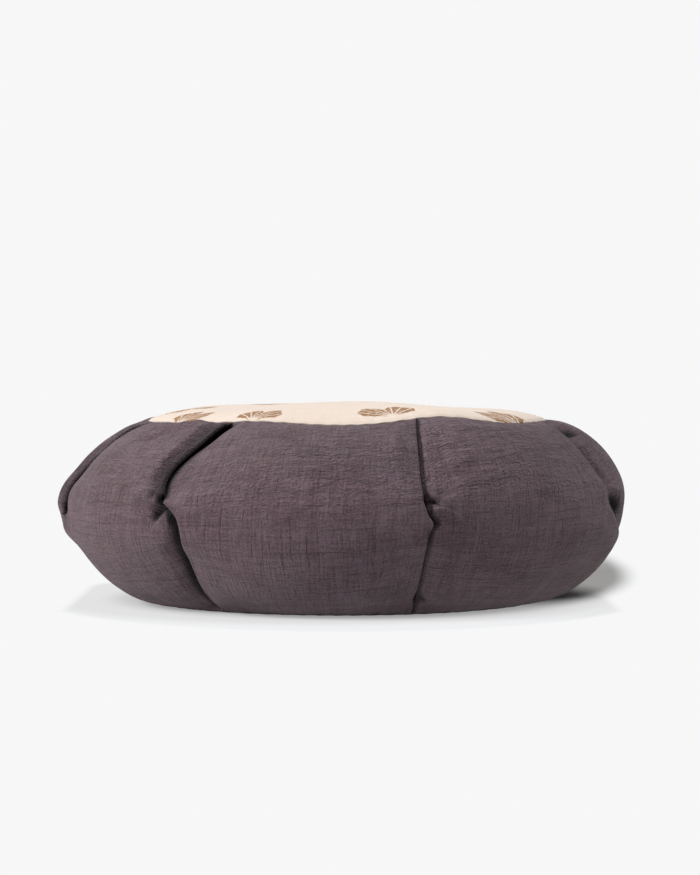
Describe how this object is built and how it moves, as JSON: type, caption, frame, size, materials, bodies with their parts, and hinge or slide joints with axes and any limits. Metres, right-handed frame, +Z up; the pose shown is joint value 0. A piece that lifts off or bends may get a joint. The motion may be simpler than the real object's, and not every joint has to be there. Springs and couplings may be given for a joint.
{
  "type": "pleated round meditation cushion",
  "caption": "Round floor cushion with a pleated bulging side band, a crowned printed top panel and a flat base panel.",
  "frame": {"origin": "on the floor under the middle of the cushion", "axes": "+Z up, -Y towards the side seen in the picture, +X to that side's right"},
  "size_m": [0.4208, 0.4213, 0.1471],
  "materials": {
    "band_cloth": "plum crinkled cotton",
    "top_cloth": "cream plain weave with a brown leaf print",
    "base_cloth": "plum plain weave"
  },
  "bodies": {
    "root": {"side_band": "band_cloth", "top_panel": "top_cloth", "base_panel": "base_cloth"}
  },
  "joints": []
}
